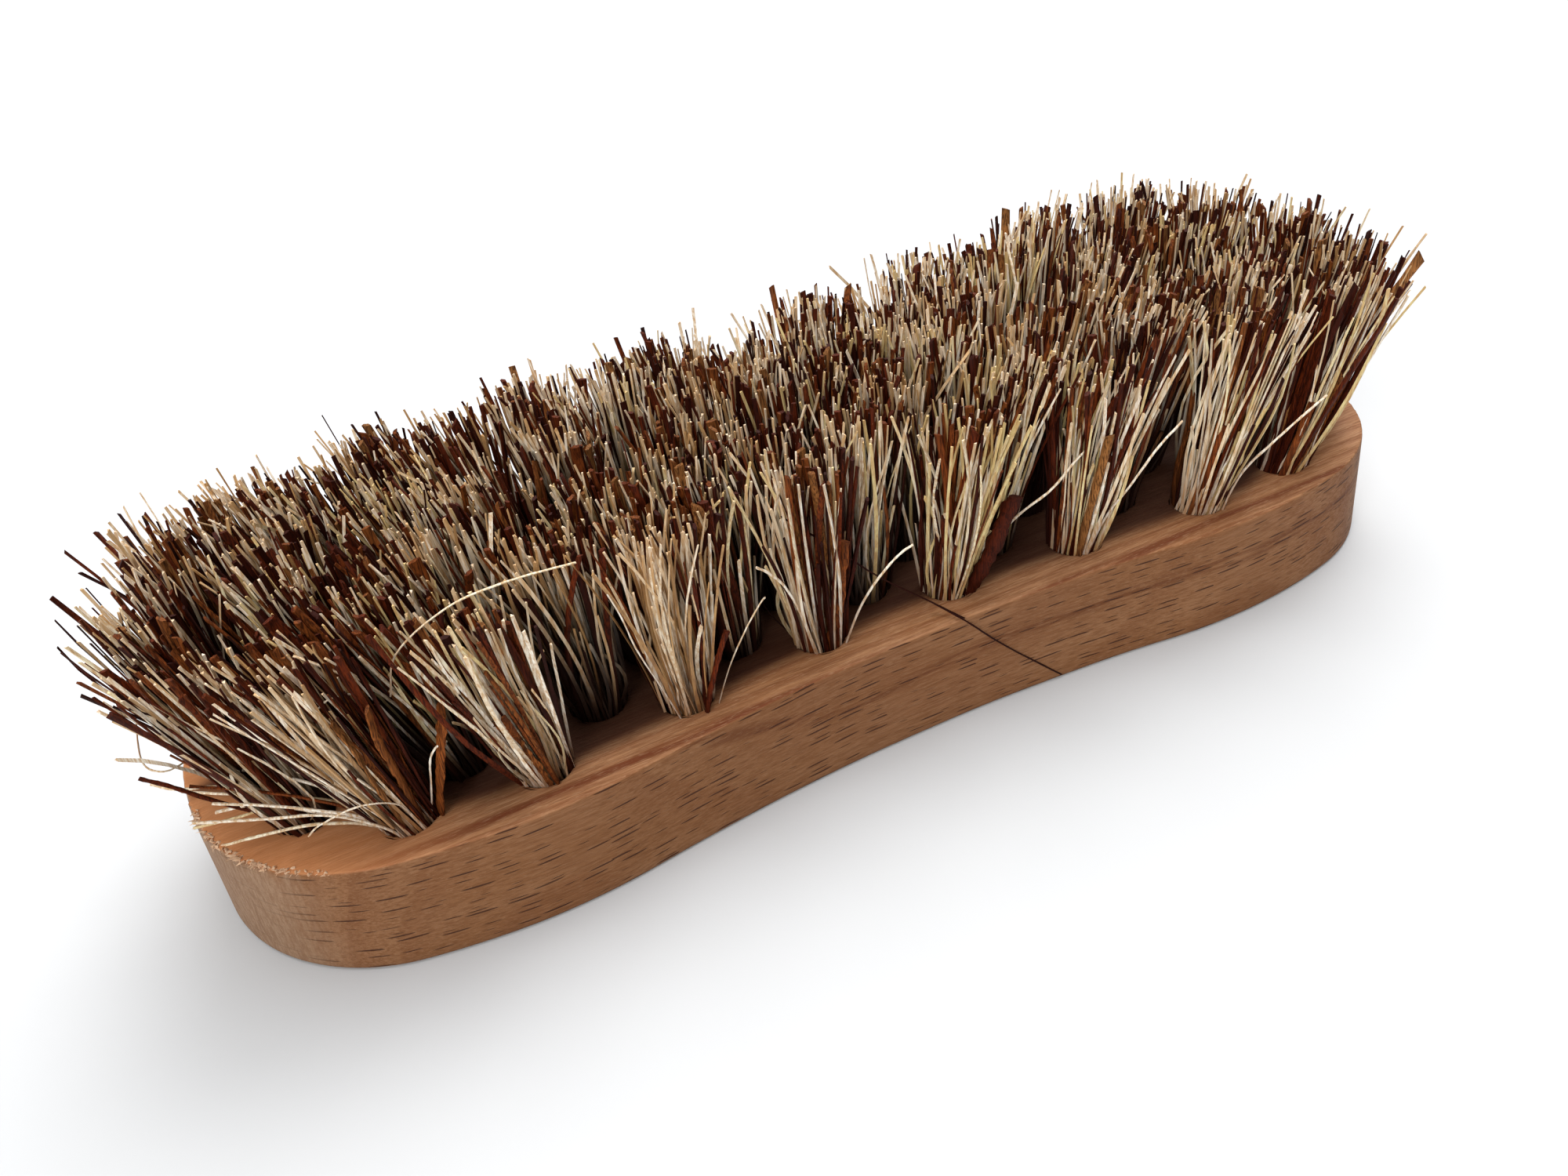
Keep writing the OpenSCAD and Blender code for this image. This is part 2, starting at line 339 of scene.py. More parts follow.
def beech():
    """Steamed, sanded, unfinished beech: warm and matt, with fine rings and short dark rays.

    The grain runs along X and the rings lie nearly parallel to the long edge, so the edge shows the
    rays as dashes, the face shows the rings as lines, and the ends show grey, mottled end grain.
    """
    material, tree = new_material("steamed_beech")
    # Settings of a smooth step and of a mix of two colours
    smooth, colours = {"interpolation_type": "SMOOTHSTEP"}, {"data_type": "RGBA"}
    place = add(tree, "TexCoord").outputs["Object"]
    mm = add(tree, "VectorMath", (place, (1000, 1000, 1000)), operation="MULTIPLY")
    x, y, z = add(tree, "SeparateXYZ", [mm]).outputs
    turned = add(tree, "TexCoord").outputs["Normal"]
    out_x, out_y, out_z = add(tree, "SeparateXYZ", [turned]).outputs

    def pattern(size, detail=2, rough=0.5):
        """Soft noise whose blobs are about that many millimetres long in x, y and z."""
        scaled = add(tree, "VectorMath", (mm, [1 / s for s in size]), operation="MULTIPLY")
        look = {"Vector": scaled, "Scale": 1, "Detail": detail, "Roughness": rough}
        return add(tree, "TexNoise", look)

    # How far the surface faces up, which is 1 on the drilled face and nil on the edge
    upwards = add(tree, "MapRange", (out_z, 0.3, 0.9), **smooth)

    # Depth into the rings, in millimetres, which wanders by a few millimetres along the block
    ring_tilt, ring_step = 0.11, 2.7
    depth = add(tree, "Math", (z, ring_tilt, y), operation="MULTIPLY_ADD")
    depth = add(tree, "Math", (pattern((75, 40, 30)), 3.4, depth), operation="MULTIPLY_ADD")
    depth = add(tree, "Math", (pattern((16, 6, 7)), 0.8, depth), operation="MULTIPLY_ADD")
    # Late wood comes in slowly over each ring and ends at once. It shows more on the face
    ring = add(tree, "Math", (depth, ring_step), operation="DIVIDE")
    ring = add(tree, "Math", [ring], operation="FRACT")
    coming = add(tree, "MapRange", (ring, 0.35, 0.93), **smooth)
    ending = add(tree, "MapRange", (ring, 0.93, 1, 1, 0), **smooth)
    late = add(tree, "Math", (coming, ending), operation="MULTIPLY")
    shown = add(tree, "MapRange", (upwards, 0, 1, 0.32, 0.5), **smooth)
    late = add(tree, "Math", (late, shown), operation="MULTIPLY")
    # A broad red ring runs along the front of the face, at this depth, and is patchy
    red_depth = 25.3
    off_red = add(tree, "Math", (depth, red_depth), operation="ADD")
    off_red = add(tree, "Math", [off_red], operation="ABSOLUTE")
    band = add(tree, "MapRange", (off_red, 0.2, 1.9, 1, 0), **smooth)
    patchy = add(tree, "MapRange", (pattern((16, 1.2, 1.2), 3), 0.36, 0.58, 0.3, 1), **smooth)
    band = add(tree, "Math", (band, patchy), operation="MULTIPLY")
    shown = add(tree, "MapRange", (upwards, 0, 1, 0.2, 0.95), **smooth)
    band = add(tree, "Math", (band, shown), operation="MULTIPLY")

    # On the front edge the same dark rings come out as a streak, which sinks from the face at the
    # left to about half the thickness at the right
    line = add(tree, "MapRange", (x, -58, -8, 18.5, 8.6), **smooth)
    line = add(tree, "Math", (pattern((34, 30, 30)), 5, line), operation="MULTIPLY_ADD")
    off_line = add(tree, "Math", (z, line), operation="SUBTRACT")
    off_line = add(tree, "Math", [off_line], operation="ABSOLUTE")
    streak = add(tree, "MapRange", (off_line, 0.2, 1.7, 1, 0), **smooth)
    broken = add(tree, "MapRange", (pattern((11, 9, 0.7), 3), 0.4, 0.6), **smooth)
    streak = add(tree, "Math", (streak, broken), operation="MULTIPLY")
    forwards = add(tree, "MapRange", (out_y, -0.9, -0.6, 0.95, 0), **smooth)
    streak = add(tree, "Math", (streak, forwards), operation="MULTIPLY")

    # Grain, and the thin dark and pale lines of the fibre that the saw and the sander leave
    grain = pattern((5, 0.35, 0.35), 3, 0.6)
    fine = pattern((1.6, 0.16, 0.16), 2, 0.6)
    hair = pattern((9, 0.22, 0.22))
    coarse_lines = add(tree, "MapRange", (grain, 0.4, 0.64, 0, 0.5), **smooth)
    dark_lines = add(tree, "MapRange", (hair, 0.5, 0.72, 0, 0.5), **smooth)
    pale_lines = add(tree, "MapRange", (fine, 0.5, 0.72, 0, 0.26), **smooth)

    # End grain, where the surface turns towards the ends
    endwise = add(tree, "Math", [out_x], operation="ABSOLUTE")
    end = add(tree, "MapRange", (endwise, 0.45, 0.85), **smooth)
    pores = pattern((0.7, 0.5, 2.2), 3, 0.7)
    mottle = add(tree, "MapRange", (pores, 0.35, 0.65), **smooth)
    mottled = add(tree, "Mix", (mottle, linear("#a58a70"), linear("#8b6d54")), **colours)
    end_grain = add(tree, "Math", (end, 0.7), operation="MULTIPLY")

    # Rays: dark lenses on the edge, up to 5 mm long and 0.3 mm thick. They lie in uneven cells of
    # this length and height in millimetres, of which three in five hold one
    cell_l, cell_h = 5.2, 0.95
    drift = add(tree, "Math", (pattern((30, 25, 25)), 2, z), operation="MULTIPLY_ADD")
    cell_x = add(tree, "Math", (x, cell_l), operation="DIVIDE")
    cell_z = add(tree, "Math", (drift, cell_h), operation="DIVIDE")
    flat = add(tree, "CombineXYZ", (cell_x, cell_z))
    spread = {"Vector": flat, "Scale": 1, "Randomness": 0.9}
    cells = add(tree, "TexVoronoi", spread, voronoi_dimensions="2D").outputs
    chance, size, _ = add(tree, "SeparateXYZ", [cells["Color"]]).outputs
    kept = add(tree, "MapRange", (chance, 0.38, 0.42), **smooth)
    off = add(tree, "VectorMath", (flat, cells["Position"]), operation="SUBTRACT")
    off = add(tree, "VectorMath", (off, (2.4, 7, 0)), operation="MULTIPLY")
    off = add(tree, "VectorMath", [off], operation="LENGTH")
    reach = add(tree, "MapRange", (size, 0, 1, 0.4, 1.15), **smooth)
    within = add(tree, "Math", (reach, off), operation="SUBTRACT")
    fleck = add(tree, "MapRange", (within, 0, 0.25), **smooth)
    fleck = add(tree, "Math", (fleck, kept), operation="MULTIPLY")
    # They show on the sides of the block, and little where these turn to end grain
    level = add(tree, "Math", [out_z], operation="ABSOLUTE")
    on_edge = add(tree, "MapRange", (level, 0.4, 0.9, 1, 0), **smooth)
    off_end = add(tree, "MapRange", (end, 0, 1, 1, 0.2), **smooth)
    on_edge = add(tree, "Math", (on_edge, off_end), operation="MULTIPLY")
    fleck = add(tree, "Math", (fleck, on_edge), operation="MULTIPLY")
    ray = add(tree, "Math", (fleck, 0.92), operation="MULTIPLY")

    # The left end of the face is painted a little redder and paler than the rest, as painted light
    painted_light_left = add(tree, "MapRange", (x, -92, -62, 1, 0), **smooth)
    painted_light_left = add(tree, "Math", (painted_light_left, upwards), operation="MULTIPLY")
    painted_light_left = add(tree, "Math", (painted_light_left, 0.62), operation="MULTIPLY")

    # Painted shade darkens the face among the tufts, from the near side of the outer holes
    # inwards, up to a line that follows the waist, the bulges and the ends
    aside = add(tree, "Math", [x], operation="ABSOLUTE")
    waist = add(tree, "MapRange", (aside, 0, 58, 28.2, 32.5), **smooth)
    nose = add(tree, "MapRange", (aside, 62, 104, 0, 26), **smooth)
    half = add(tree, "Math", (waist, nose), operation="SUBTRACT")
    across = add(tree, "Math", [y], operation="ABSOLUTE")
    inside = add(tree, "Math", (half, across), operation="SUBTRACT")
    root_shade = add(tree, "MapRange", (inside, 4.9, 9.4), **smooth)
    root_shade = add(tree, "Math", (root_shade, upwards), operation="MULTIPLY")
    root_shade = add(tree, "Math", (root_shade, 0.93), operation="MULTIPLY")

    # The edge, which faces sideways, is painted a little darker and browner than the face, as
    # painted shade. Sanding dust and handling darken the whole block unevenly, by up to 12 per cent
    painted_side_shade = add(tree, "MapRange", (upwards, 0, 1, 0.54, 0), **smooth)
    soot = add(tree, "MapRange", (pattern((14, 12, 12), 4), 0.25, 0.75, 0.12, 0), **smooth)

    cloud = add(tree, "MapRange", (pattern((38, 9, 9), 3), 0.3, 0.7), **smooth)
    wood = add(tree, "Mix", (cloud, linear("#a3714a"), linear("#b5855f")), **colours)
    # Of these layers, the darker edge and the near black among the tufts are painted shade, and the
    # paler left end is painted light
    for share, over in (
        (late, linear("#7c4322")),
        (band, linear("#6d3319")),
        (streak, linear("#5f2a14")),
        (coarse_lines, linear("#784a2c")),
        (dark_lines, linear("#6e4023")),
        (pale_lines, linear("#d8b08a")),
        (painted_side_shade, linear("#69401e")),
        (end_grain, mottled),
        (ray, linear("#3a1c0c")),
        (painted_light_left, linear("#d48c58")),
        (root_shade, linear("#2c0f07")),
        (soot, linear("#6d4a33")),
    ):
        wood = add(tree, "Mix", (share, wood, over), **colours)

    # The lines of the grain stand up a little, the rays are sunk and the end grain is rough
    fine_relief = add(tree, "Math", (fine, 0.5), operation="MULTIPLY")
    grain_relief = add(tree, "Math", (grain, 0.6), operation="MULTIPLY")
    relief = add(tree, "Math", (fine_relief, grain_relief), operation="ADD")
    relief = add(tree, "Math", (fleck, -0.7, relief), operation="MULTIPLY_ADD")
    end_relief = add(tree, "Math", (pores, end), operation="MULTIPLY")
    relief = add(tree, "Math", (end_relief, 0.9, relief), operation="MULTIPLY_ADD")
    bump = add(tree, "Bump", {"Height": relief, "Strength": 0.55, "Distance": 0.00022})
    rough = add(tree, "MapRange", (grain, 0.3, 0.7, 0.58, 0.74), **smooth)
    look = {"Base Color": wood, "Roughness": rough, "IOR": 1.5, "Specular IOR Level": 0.2}
    surface = add(tree, "BsdfPrincipled", {**look, "Normal": bump})
    add(tree, "OutputMaterial", {"Surface": surface})
    return material


block = bpy.data.objects.new("beech_block", block_mesh())
bpy.context.scene.collection.objects.link(block)
block.data.materials.append(beech())
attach(block, "root")
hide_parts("block")


# Anchors
# A short length of flat galvanised wire across the bottom of every hole, driven in with the
# tuft that is folded round it. It bites into the wood at both ends and hides under the fibres.


def galvanised_wire():
    """Cold drawn, zinc-coated flat wire: a dull grey metal with fine lines along its length."""
    material, tree = new_material("galvanised_flat_wire")
    place = add(tree, "TexCoord").outputs["Object"]
    # Lines about 7 mm long and 0.17 mm wide
    drawn = add(tree, "VectorMath", (place, (150, 6000, 6000)), operation="MULTIPLY")
    lines = add(tree, "TexNoise", {"Vector": drawn, "Scale": 1, "Detail": 2})
    rough = add(tree, "MapRange", {"Value": lines, "To Min": 0.35, "To Max": 0.6})
    tint = add(tree, "Mix", (lines, linear("#8f9396"), linear("#b9bcbe")), data_type="RGBA")
    look = {"Base Color": tint, "Metallic": 1, "Roughness": rough}
    surface = add(tree, "BsdfPrincipled", look)
    add(tree, "OutputMaterial", {"Surface": surface})
    return material


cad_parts["anchors"].data.materials.clear()
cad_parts["anchors"].data.materials.append(galvanised_wire())


# Tufts
# Union fibre: pale, wiry tampico and dark, coarse piassava stems mixed by hand, folded in two
# round the anchor, driven into the hole and trimmed level. Each tuft is as tight as its hole at
# the root and fans out to about twice that width, and many fibres are short, bent or astray.

FIBRES = 186
DARK_SHARE = 0.42
PATH_POINTS = 8
# Depth of the fibres in the hole, and radii of the tuft at the face and at the trimmed tips
BURIED, ROOT_R, FAN_R = 7, 4.0, 7.6
GOLDEN_ANGLE = 2.39996


def disc_places(rng):
    """Places in a unit disc, as radius and direction: a sunflower spiral, in a random order."""
    radius = np.sqrt((rng.permutation(FIBRES) + 0.5) / FIBRES)
    turn = np.arange(FIBRES) * GOLDEN_ANGLE + rng.uniform(0, 2 * math.pi)
    return radius, np.stack([np.cos(turn), np.sin(turn)], 1)


def hand_mixed(rng, place, dark_share):
    """Which fibres are dark: those near two dark clumps, far from three pale ones, with chance."""
    clumps = rng.uniform(-0.9, 0.9, (5, 2))
    sign = np.array([1, 1, -1, -1, -1])
    near = np.exp(-((place[:, None] - clumps) ** 2).sum(2) / 0.10)
    score = near @ sign + rng.normal(0, 0.5, FIBRES)
    return score > np.quantile(score, 1 - dark_share)


def held_in(path):
    """Eases paths back by a tanh, so that they end less than about 3 % outside the CAD box."""
    for axis, start, room in ((0, 103, 3.5), (1, 33, 3.2)):
        beyond = np.abs(path[..., axis]) - start
        eased = start + room * np.tanh(beyond / room)
        path[..., axis] = np.where(beyond > 0, np.sign(path[..., axis]) * eased, path[..., axis])
    # No fibre stands more than 2.4 mm above the trim
    path[..., 2] = np.minimum(path[..., 2], BLOCK_T + TRIM_H + 2.4)
    return path


def fibre_paths(rng, middle, lean, radius, direction, dark, spread, trim):
    """Paths of fibres as an array [fibre, point, xyz], in millimetres.

    A fibre leaves the hole at its place on the disc, climbs along the tuft's lean, moves out from
    the middle of the tuft in proportion to that place, and adds a random drift that grows with the
    square of the height and a bow that is nil at both ends. Wiry pale fibres stray more than stems.
    """
    # One fibre in twenty goes astray. Drift and bow are in millimetres
    astray = rng.random(FIBRES) < 0.05
    drift = np.where(dark, 1.4, 2.0) * np.where(astray, 2.6, 1)
    bow = np.where(dark, 0.35, 0.75) * np.where(astray, 3.0, 1)
    root = ROOT_R * radius[:, None] * direction
    # Nearly half of the fibres end early, more of the outer ones than of those in the middle
    short = rng.random(FIBRES) < 0.25 + 0.42 * radius**2
    length = np.where(short, rng.uniform(0.35, 0.98, FIBRES), 1.0)
    top = length * trim + rng.normal(0, 0.9, FIBRES)
    g = np.linspace(0, 1, PATH_POINTS - 1) ** 0.85
    height = g * top[:, None]
    share = height / TRIM_H
    fan = (FAN_R * spread * rng.normal(1, 0.17, FIBRES) - ROOT_R)[:, None] * radius[:, None] ** 1.1
    wide = root[:, None] + (fan * share**1.08)[..., None] * direction[:, None]
    wide += (drift[:, None, None] * rng.normal(0, 1, (FIBRES, 1, 2))) * share[..., None] ** 2
    arch = np.sin(math.pi * g)[None, :, None]
    wide += (bow[:, None, None] * rng.normal(0, 1, (FIBRES, 1, 2))) * arch
    above = np.empty((FIBRES, PATH_POINTS - 1, 3))
    above[..., :2] = middle + lean * share[..., None] + wide
    above[..., 2] = BLOCK_T + height
    below = np.empty((FIBRES, 1, 3))
    below[:, 0, :2] = middle - lean * BURIED / TRIM_H + root * 0.88
    below[:, 0, 2] = BLOCK_T - BURIED
    return held_in(np.concatenate([below, above], 1))


def tubes(path, width, thick, sides, rng):
    """Closed tubes of that many sides round paths: centre + width * cos a * u + thick * sin a * v.

    The last ring is cut askew: one side of it ends up to 1.8 times the half width lower, or 0.6
    times higher, than the other. Every ring's rim is uneven too.
    """
    count, points = path.shape[:2]
    way = np.gradient(path, axis=1)
    way /= np.linalg.norm(way, axis=2, keepdims=True)
    turn = rng.uniform(0, 2 * math.pi, count)
    start = np.stack([np.cos(turn), np.sin(turn), np.zeros(count)], 1)[:, None]
    u = start - (start * way).sum(2, keepdims=True) * way
    u /= np.linalg.norm(u, axis=2, keepdims=True)
    v = np.cross(way, u)
    a = np.linspace(0, 2 * math.pi, sides, endpoint=False)
    rim = 1 + rng.uniform(-0.22, 0.12, (count, points, sides))
    around = (width[..., None] * rim)[..., None] * np.cos(a)[:, None] * u[:, :, None]
    around = around + (thick[..., None] * rim)[..., None] * np.sin(a)[:, None] * v[:, :, None]
    cut = rng.uniform(-0.9, 0.3, (count, 1)) * width[:, -1:] * (1 + np.cos(a))
    around[:, -1] += cut[..., None] * way[:, -1:]
    return (path[:, :, None] + around).reshape(-1, 3)


def tube_faces(count, points, sides, start):
    """Quads, and then the two end caps, of each of count tubes, as two lists of corner lists."""
    one = ring_quads(points, sides)
    first = start + np.arange(count) * points * sides
    quads = (first[:, None, None] + one).reshape(-1, 4).tolist()
    bottoms = first[:, None] + np.arange(sides)[::-1]
    tops = first[:, None] + np.arange((points - 1) * sides, points * sides)
    return quads, bottoms.tolist() + tops.tolist()


def shade_deep_in_brush(points):
    """How much painted shade fibres get: 1 low down and deep among the rows, nil near the rim and
    at the tips.

    It is a smooth step from 7 to 13 mm inside the outline, times a square that falls from 1 at 2 mm
    above the face to nil at 30 mm.
    """
    rim = outline[(outline[:, 1] > 0) & (outline[:, 0] > 0)]
    rim = rim[np.argsort(rim[:, 0])]
    inside = np.interp(np.abs(points[:, 0]), rim[:, 0], rim[:, 1]) - np.abs(points[:, 1])
    deep = np.clip((inside - 7.0) / 6.0, 0, 1)
    low = np.clip(1 - (points[:, 2] - BLOCK_T - 2) / 28, 0, 1)
    return deep * deep * (3 - 2 * deep) * low * (2 - low)


def fibre_object(name, rng, kinds):
    """Fibres as one mesh, from kinds of fibre.

    A kind is its material's number, paths, half widths, half thicknesses, sides and own tints. A
    fibre's tint, the place along it, from nil at the root to 1 at the tip, and how much painted
    shade it gets there are kept as attributes, which colour it.
    """
    corners, faces, slots, tint, along = [], [], [], [], []
    start = 0
    for slot, path, width, thick, sides, own in kinds:
        count, points = path.shape[:2]
        corners.append(tubes(path, width, thick, sides, rng))
        quads, caps = tube_faces(count, points, sides, start)
        faces += quads + caps
        slots += [slot] * (len(quads) + len(caps))
        tint.append(np.repeat(own, points * sides))
        along.append(np.tile(np.repeat(np.linspace(0, 1, points), sides), count))
        start += count * points * sides
    corners = np.vstack(corners)
    mesh = bpy.data.meshes.new(name)
    mesh.from_pydata((corners * MM).tolist(), [], faces)
    mesh.shade_smooth()
    mesh.set_sharp_from_angle(angle=math.radians(70))
    mesh.polygons.foreach_set("material_index", slots)
    for label, values in (("tint", tint), ("along", along), ("painted_shade", [shade_deep_in_brush(corners)])):
        attribute = mesh.attributes.new(label, "FLOAT", "POINT")
        attribute.data.foreach_set("value", np.concatenate(values))
    made = bpy.data.objects.new(name, mesh)
    bpy.context.scene.collection.objects.link(made)
    made.data.materials.append(tampico)
    made.data.materials.append(piassava)
    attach(made, "root")
    return made


def tuft_object(name, seed, middle, lean, spread, trim, dark_share):
    """One tuft: thin three-sided pale fibres, and flat five-sided stems of gamma-spread width."""
    rng = np.random.default_rng(seed)
    radius, direction = disc_places(rng)
    dark = hand_mixed(rng, radius[:, None] * direction, dark_share)
    path = fibre_paths(rng, middle, lean, radius, direction, dark, spread, trim)
    # Half widths in millimetres: even for the pale fibres, which taper, and with a long tail for
    # the stems
    pale_count, dark_count = (~dark).sum(), dark.sum()
    thin = rng.uniform(0.17, 0.37, pale_count)[:, None] * np.linspace(1.1, 0.88, PATH_POINTS)
    broad = np.clip(rng.gamma(3.2, 0.115, dark_count), 0.17, 1.0)[:, None]
    broad = broad * rng.uniform(0.85, 1.12, (dark_count, PATH_POINTS))
    # Thick stems keep their red-brown bark, and thin ones are mostly near black
    bark = np.clip(0.55 * broad.mean(1) + rng.uniform(-0.1, 0.68, dark_count), 0, 1)
    # Pale fibres of one tuft come from one hank, so they lean a little to brown, cream or yellow
    hank = rng.uniform(-0.2, 0.48)
    cream = np.clip(rng.random(pale_count) * 0.85 + hank, 0, 1)
    return fibre_object(name, rng, [
        (0, path[~dark], thin, thin * 0.8, 3, cream),
        (1, path[dark], broad, np.minimum(broad * 0.6, 0.4), 5, bark),
    ])


def fibre(name, tints, streak, root_shade, tip_shade, grain_size, roughness, specular):
    """A plant fibre: a tint from a ramp of natural colours, streaked, and stained at the root.

    The first darker colour streaks the fibre and the second is painted shade at the root. The
    next number is how far the cut end is darkened, as painted shade on ends that face the lamps,
    and the grain size is the width and length of the streaks in millimetres. Fibres deep among the
    rows are painted near black, as painted shade.
    """
    material, tree = new_material(name)
    tint = add(tree, "Attribute", attribute_name="tint").outputs["Fac"]
    along = add(tree, "Attribute", attribute_name="along").outputs["Fac"]
    painted_shade = add(tree, "Attribute", attribute_name="painted_shade").outputs["Fac"]
    ramp = add(tree, "ValToRGB", [tint])
    stops = ramp.color_ramp.elements
    while len(stops) < len(tints):
        stops.new(0.5)
    for stop, (place, colour) in zip(stops, tints):
        stop.position, stop.color = place, linear(colour)
    place = add(tree, "TexCoord").outputs["Object"]
    wide, long = 1000 / grain_size[0], 1000 / grain_size[1]
    thin = add(tree, "VectorMath", (place, (wide, wide, long)), operation="MULTIPLY")
    lines = add(tree, "TexNoise", {"Vector": thin, "Scale": 1, "Detail": 3, "Roughness": 0.65})
    # Darker colours laid over the tint, each with what its share depends on and the ramp of that.
    # The second is painted shade at the root, the third painted shade deep among the rows, and the
    # last painted shade on the cut ends
    colour = ramp
    for over, *levels in (
        (streak, lines, 0.38, 0.6, 0.85, 0),
        (root_shade, along, 0.14, 0.5, 0.6, 0),
        ("#1c0803", painted_shade, 0, 0.9, 0, 0.97),
        (streak, along, 0.9, 0.99, 0, tip_shade),
    ):
        share = add(tree, "MapRange", levels)
        colour = add(tree, "Mix", (share, colour, linear(over)), data_type="RGBA")
    bump = add(tree, "Bump", {"Height": lines, "Strength": 0.6, "Distance": 0.00012})
    look = {"Base Color": colour, "Roughness": roughness, "Specular IOR Level": specular}
    surface = add(tree, "BsdfPrincipled", {**look, "Normal": bump})
    add(tree, "OutputMaterial", {"Surface": surface})
    return material


# Tampico from brown butts to clean cream and yellow, and piassava from near black to its bark
TAMPICO = (
    (0, "#96704a"), (0.12, "#cfae85"), (0.35, "#ecdcbf"),
    (0.72, "#fcf5e6"), (0.88, "#efe2b8"), (1, "#decb90"),
)
PIASSAVA = ((0, "#1b0300"), (0.35, "#421304"), (0.65, "#702c0e"), (0.88, "#985322"), (1, "#ad733f"))
tampico = fibre("tampico_fibre", TAMPICO, "#c2965f", "#733c1a", 0.3, (0.4, 6), 0.5, 0.3)
piassava = fibre("piassava_stem", PIASSAVA, "#1d0400", "#280600", 0.4, (0.22, 4), 0.65, 0.12)

# How much farther than their place asks for a few tufts lean, in millimetres, and how wide they fan
ASKEW = {
    "tuft_a1": (-3.5, -0.5, 1.3),
    "tuft_b1": (-3.5, -1.5, 1.1),
    "tuft_a2": (-2.0, 0.5, 1.05),
    "tuft_a5": (1.5, 0, 1.1),
    "tuft_a8": (3.0, 0, 1.15),
}
# The middle row has no hole halfway along each bulge, so tufts within this reach lean in there
BARE_X, BARE_REACH, BARE_LEAN, BARE_FAN = 67, 25, 2.8, 1.12
# The near tufts at both ends hold more dark stems than the others
DARK_ENDS = ("tuft_a1", "tuft_b1", "tuft_a8", "tuft_b9")
pick = np.random.default_rng(5)
for i, (name, middle) in enumerate(holes.items()):
    own = (*pick.normal(0, 1.1, 2), pick.uniform(0.92, 1.1))
    x, y, spread = ASKEW.get(name, own)
    bare = np.array([math.copysign(BARE_X, middle[0]), 0]) - middle
    distance = np.linalg.norm(bare)
    if distance < BARE_REACH:
        x, y = (x, y) + BARE_LEAN * bare / distance
        spread = BARE_FAN
    trim = TRIM_H + pick.uniform(-1.2, 0.6)
    share = DARK_SHARE + 0.07 * math.sin(2.3 * i) + 0.04 * math.sin(5.1 * i)
    share += 0.14 * (name in DARK_ENDS)
    tuft = tuft_object(f"{name}_fibres", 100 + i, middle, leans[i] + [x, y], spread, trim, share)
    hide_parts(name)


# Loose fibres
# Fibres that have bent out of the near tufts: pale ones swept to the left over the end of the
# block, curls and long hairs, one black hair down over the edge, and broad flakes of bark.

